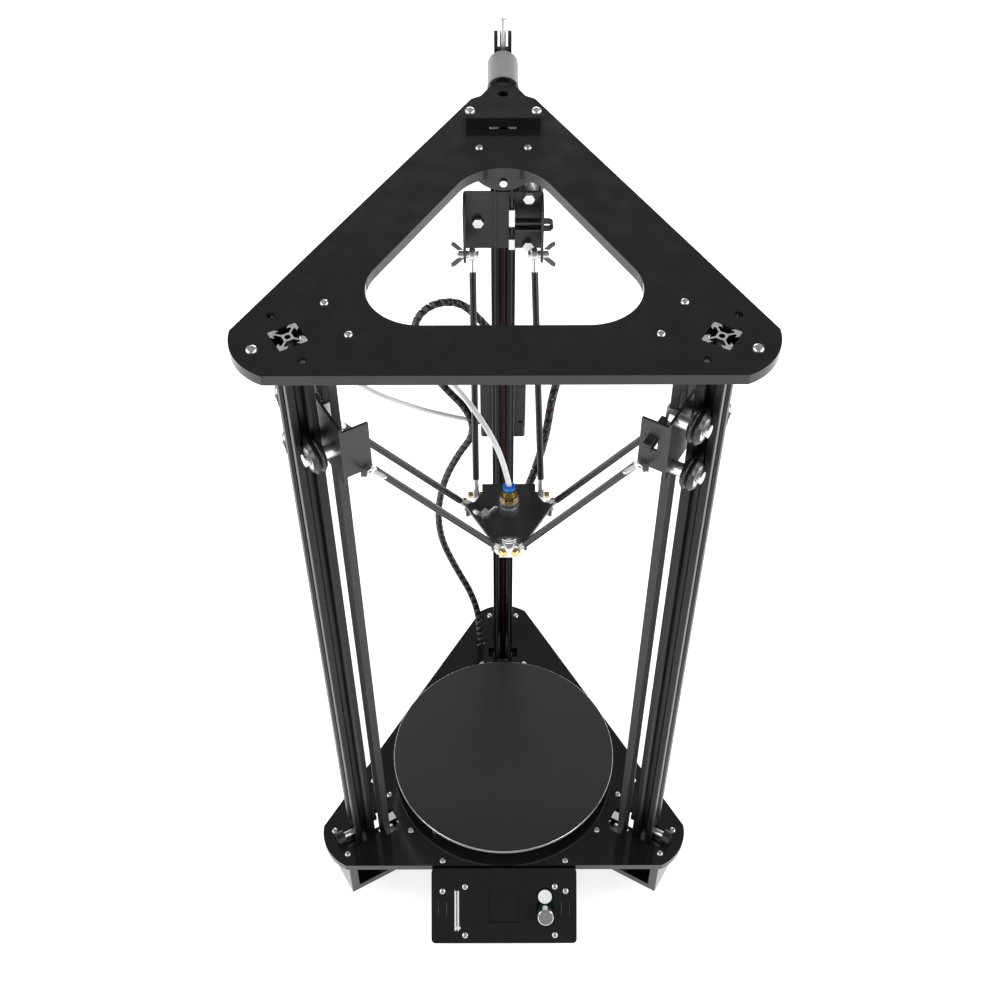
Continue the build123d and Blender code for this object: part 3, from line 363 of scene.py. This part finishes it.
# --- Panels and plates ---
# Laser-cut black acrylic, 8 mm thick at the plates, held by screws through tabs and slots. The base, its
# panels and the control panel are mirror gloss. The top plate, its panels and the spool arm are duller.

def paint(material, *names):
    """Gives CAD nodes their finish."""
    for name in names:
        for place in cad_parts[name].material_slots:
            place.material = material


black_acrylic = finish(
    "black_acrylic", (0.006, 0.006, 0.007), (0.011, 0.011, 0.012), 0, (0.04, 0.09), 30, 0.00002)
matt_acrylic = finish(
    "matt_acrylic", (0.008, 0.008, 0.009), (0.014, 0.014, 0.015), 0, (0.14, 0.24), 60, 0.00003)
paint(
    black_acrylic, "base_plate", "floor_plate", "outer_panels", "motor_panels", "panel_brackets",
    "control_panel")
paint(matt_acrylic, "top_plate", "idler_panels", "spool_holder")


# --- Rails ---
# Extruded aluminium, 20 mm square with four grooves, black anodised, with a drawn grain along the length.
# The saw cut at the top end is bare metal.

SAW_CUT_DEPTH = 0.00005

anodised = finish(
    "anodised", (0.006, 0.006, 0.007), (0.016, 0.016, 0.018), 0.7, (0.28, 0.42), 500, 0.00001, (1, 1, 0.02))
rail_nodes, rail_links = anodised.node_tree.nodes, anodised.node_tree.links
height = rail_nodes.new("ShaderNodeSeparateXYZ")
rail_links.new(rail_nodes["Texture Coordinate"].outputs["Object"], height.inputs["Vector"])
is_end = rail_nodes.new("ShaderNodeMath")
is_end.operation = "GREATER_THAN"
is_end.inputs[1].default_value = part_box("tower_back")[1][2] - SAW_CUT_DEPTH
rail_links.new(height.outputs["Z"], is_end.inputs[0])
bare = rail_nodes.new("ShaderNodeMix")
bare.data_type = "RGBA"
bare.inputs[7].default_value = (0.78, 0.79, 0.8, 1)
rail_links.new(is_end.outputs["Value"], bare.inputs["Factor"])
rail_links.new(rail_nodes["drift"].outputs["Color"], bare.inputs[6])
rail_links.new(bare.outputs[2], rail_nodes["Principled BSDF"].inputs["Base Color"])
paint(anodised, "tower_back", "tower_left", "tower_right")


# --- Sheet-metal parts ---
# Folded steel, powder-coated black with a fine orange-peel: the carriages, the effector, the brackets that
# hold the rails under the top plate, and the extruder's shelf.

powder_coat = finish("powder_coat", (0.01, 0.01, 0.011), (0.022, 0.022, 0.024), 0, (0.3, 0.45), 1400, 0.00006)
sheet_parts = ["tower_brackets", "effector_plate", "extruder_bracket"]
sheet_parts += [f"carriage_plate_{side}" for side in ("back", "left", "right")]
paint(powder_coat, *sheet_parts)


# --- Bright fasteners and steel parts ---
# Zinc-bright screws, nuts, bearings, rod ends and bed springs. The pulleys, the heat sink, the heater block
# and the knob are turned aluminium, a little glossier.

bright_steel = finish("bright_steel", (0.66, 0.67, 0.69), (0.88, 0.89, 0.9), 1, (0.3, 0.44), 1200, 0.00002)
turned_aluminium = finish(
    "turned_aluminium", (0.7, 0.71, 0.73), (0.86, 0.87, 0.88), 1, (0.2, 0.34), 900, 0.00002)
steel_parts = ["fasteners", "rod_ends", "clamp_wing_nut", "bed_springs"]
pulleys = []
for side in ("back", "left", "right"):
    steel_parts.append(f"carriage_hardware_{side}")
    pulleys += [f"drive_pulley_{side}", f"idler_pulley_{side}"]
paint(bright_steel, *steel_parts)
paint(turned_aluminium, "heat_sink", "heater_block", "encoder_knob", *pulleys)


# --- Belts ---
# Black rubber timing belts, 6 mm wide, one closed loop up each rail. Their fine teeth, about 2 mm apart, are
# only in the grain of the surface.

TOOTH_PITCH = 0.002

belt_rubber = finish("belt_rubber", (0.012, 0.012, 0.012), (0.028, 0.028, 0.028), 0, (0.45, 0.6), 600, 0.0001)
teeth = belt_rubber.node_tree.nodes.new("ShaderNodeTexWave")
teeth.bands_direction = "Z"
teeth.inputs["Scale"].default_value = 1 / TOOTH_PITCH / (2 * math.pi) * 2
belt_rubber.node_tree.links.new(
    belt_rubber.node_tree.nodes["Texture Coordinate"].outputs["Object"], teeth.inputs["Vector"])
belt_rubber.node_tree.links.new(
    teeth.outputs["Fac"], belt_rubber.node_tree.nodes["Bump"].inputs["Height"])
paint(belt_rubber, "belts")


# --- Wheels, rods and moulded parts ---
# Black moulded wheels on their bearings, the six black carbon rods, and the plain black mouldings of the
# knobs and the extruder's body.

moulded_black = finish(
    "moulded_black", (0.009, 0.009, 0.01), (0.02, 0.02, 0.021), 0, (0.26, 0.38), 400, 0.00002)
rod_carbon = finish("rod_carbon", (0.006, 0.006, 0.007), (0.013, 0.013, 0.014), 0, (0.24, 0.32), 300, 0.00001)
wheels = [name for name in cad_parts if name.startswith("wheel_")]
paint(moulded_black, "lock_knobs", "extruder_body", *wheels)
paint(rod_carbon, "rods")


# --- Motors ---
# Four stepper motors, with black laminations between their end caps: one in the base beside the foot of each
# rail, which drives its belt, and one that turns the extruder's gear.

motor_black = finish("motor_black", (0.012, 0.012, 0.013), (0.03, 0.03, 0.03), 0.5, (0.35, 0.5), 500, 0.00005)
paint(motor_black, "drive_motors", "extruder_motor")


# --- Brass and plastic hotend parts ---
# The effector's screws, the nozzle, the extruder's gear and the tube's fitting are polished brass. The collar
# in the fitting is moulded in blue.

polished_brass = finish(
    "polished_brass", (0.62, 0.42, 0.14), (0.82, 0.62, 0.28), 1, (0.14, 0.26), 1000, 0.00002)
blue_collar = finish("blue_collar", (0.01, 0.12, 0.5), (0.02, 0.2, 0.7), 0, (0.2, 0.3), 600)
paint(polished_brass, "effector_bolts", "nozzle", "push_fitting", "extruder_gear")
paint(blue_collar, "fitting_collet")


# --- Heated bed ---
# A round aluminium plate on springs, with a plain matt black face. Its edge is bright metal, turned.

FACE_DEPTH = 0.0002

bed_black = finish("bed_black", (0.016, 0.016, 0.017), (0.024, 0.024, 0.025), 0, (0.36, 0.46), 900, 0.00002)
bed_nodes, bed_links = bed_black.node_tree.nodes, bed_black.node_tree.links
bed_place = bed_nodes.new("ShaderNodeSeparateXYZ")
bed_links.new(bed_nodes["Texture Coordinate"].outputs["Object"], bed_place.inputs["Vector"])
below_face = bed_nodes.new("ShaderNodeMath")
below_face.operation = "LESS_THAN"
below_face.inputs[1].default_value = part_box("heated_bed")[1][2] - FACE_DEPTH
bed_links.new(bed_place.outputs["Z"], below_face.inputs[0])
rim_tone = bed_nodes.new("ShaderNodeMix")
rim_tone.data_type = "RGBA"
rim_tone.inputs[7].default_value = (0.74, 0.75, 0.76, 1)
bed_links.new(below_face.outputs["Value"], rim_tone.inputs["Factor"])
bed_links.new(bed_nodes["drift"].outputs["Color"], rim_tone.inputs[6])
bed_links.new(rim_tone.outputs[2], bed_nodes["Principled BSDF"].inputs["Base Color"])
bed_links.new(below_face.outputs["Value"], bed_nodes["Principled BSDF"].inputs["Metallic"])
paint(bed_black, "heated_bed")


# --- Boards ---
# Green circuit boards behind the control panel and on the floor plate. On the panel's board the card reader
# at the left is bright tin, and the buzzer behind the round of the opening is white.

BUZZER_PLACE = (0.0396, -0.1412, 0.0427)
BUZZER_REACH = 0.0074
CARD_READER_X = (-0.0495, -0.041)

solder_mask = finish("solder_mask", (0.005, 0.06, 0.035), (0.01, 0.1, 0.06), 0, (0.2, 0.35), 500, 0.00004)
paint(solder_mask, "mainboard")
board_paint = finish("board_paint", (0.005, 0.06, 0.035), (0.01, 0.1, 0.06), 0, (0.2, 0.35), 500, 0.00004)
board_nodes, board_links = board_paint.node_tree.nodes, board_paint.node_tree.links
board_place = board_nodes.new("ShaderNodeSeparateXYZ")
board_links.new(board_nodes["Texture Coordinate"].outputs["Object"], board_place.inputs["Vector"])
past_reader = board_nodes.new("ShaderNodeMath")
past_reader.operation = "LESS_THAN"
past_reader.inputs[1].default_value = CARD_READER_X[1]
board_links.new(board_place.outputs["X"], past_reader.inputs[0])
from_buzzer = board_nodes.new("ShaderNodeVectorMath")
from_buzzer.operation = "DISTANCE"
from_buzzer.inputs[1].default_value = BUZZER_PLACE
board_links.new(board_nodes["Texture Coordinate"].outputs["Object"], from_buzzer.inputs[0])
in_buzzer = board_nodes.new("ShaderNodeMath")
in_buzzer.operation = "LESS_THAN"
in_buzzer.inputs[1].default_value = BUZZER_REACH
board_links.new(from_buzzer.outputs["Value"], in_buzzer.inputs[0])
tinned = board_nodes.new("ShaderNodeMix")
tinned.data_type = "RGBA"
tinned.inputs[7].default_value = (0.75, 0.76, 0.78, 1)
board_links.new(past_reader.outputs["Value"], tinned.inputs["Factor"])
board_links.new(board_nodes["drift"].outputs["Color"], tinned.inputs[6])
whitened = board_nodes.new("ShaderNodeMix")
whitened.data_type = "RGBA"
whitened.inputs[7].default_value = (0.82, 0.82, 0.82, 1)
board_links.new(in_buzzer.outputs["Value"], whitened.inputs["Factor"])
board_links.new(tinned.outputs[2], whitened.inputs[6])
board_links.new(whitened.outputs[2], board_nodes["Principled BSDF"].inputs["Base Color"])
paint(board_paint, "display_board")


# --- Wires in the rear rail ---
# A red and a black wire in the front groove of the rear rail. They are straight, and end 12 mm below the
# rail's top and 4 mm above the base plate. The red wire's colour is darkened as painted shade of the groove.

SLOT_WIRES = ((-0.0011, 0.1562, 1), (0.0011, 0.1562, 0))
SLOT_WIRE_ENDS = (0.064, 0.700)
SLOT_WIRE_RADIUS = 0.0008
SLOT_WIRE_STEPS = 8
SLOT_WIRE_SIDES = 8

# Painted shade: this red is far darker than the harness's red wire, standing for the shade inside the groove.
shaded_red_wire = finish("shaded_red_wire", (0.12, 0.004, 0.004), (0.2, 0.008, 0.006), 0, (0.35, 0.5), 700)
slot_mesh = bmesh.new()
foot, head = SLOT_WIRE_ENDS
for x, y, kind in SLOT_WIRES:
    steps = [
        Vector((x, y, foot + (head - foot) * step / SLOT_WIRE_STEPS)) for step in range(SLOT_WIRE_STEPS + 1)
    ]
    add_tube(
        slot_mesh, [place for run, place in frames_along(steps)], SLOT_WIRE_RADIUS, SLOT_WIRE_SIDES, kind)
slot_wires = finished("slot_wires", slot_mesh, shaded_red_wire, black_wire)
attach(slot_wires, "frame")


# --- Spool roller ---
# A matt grey plastic tube that turns on the arm behind the top plate. The spool of filament hangs on it;
# there is no spool here.

grey_tube = finish("grey_tube", (0.3, 0.3, 0.31), (0.36, 0.36, 0.37), 0, (0.4, 0.55), 500, 0.00003)
paint(grey_tube, "spool_roller")
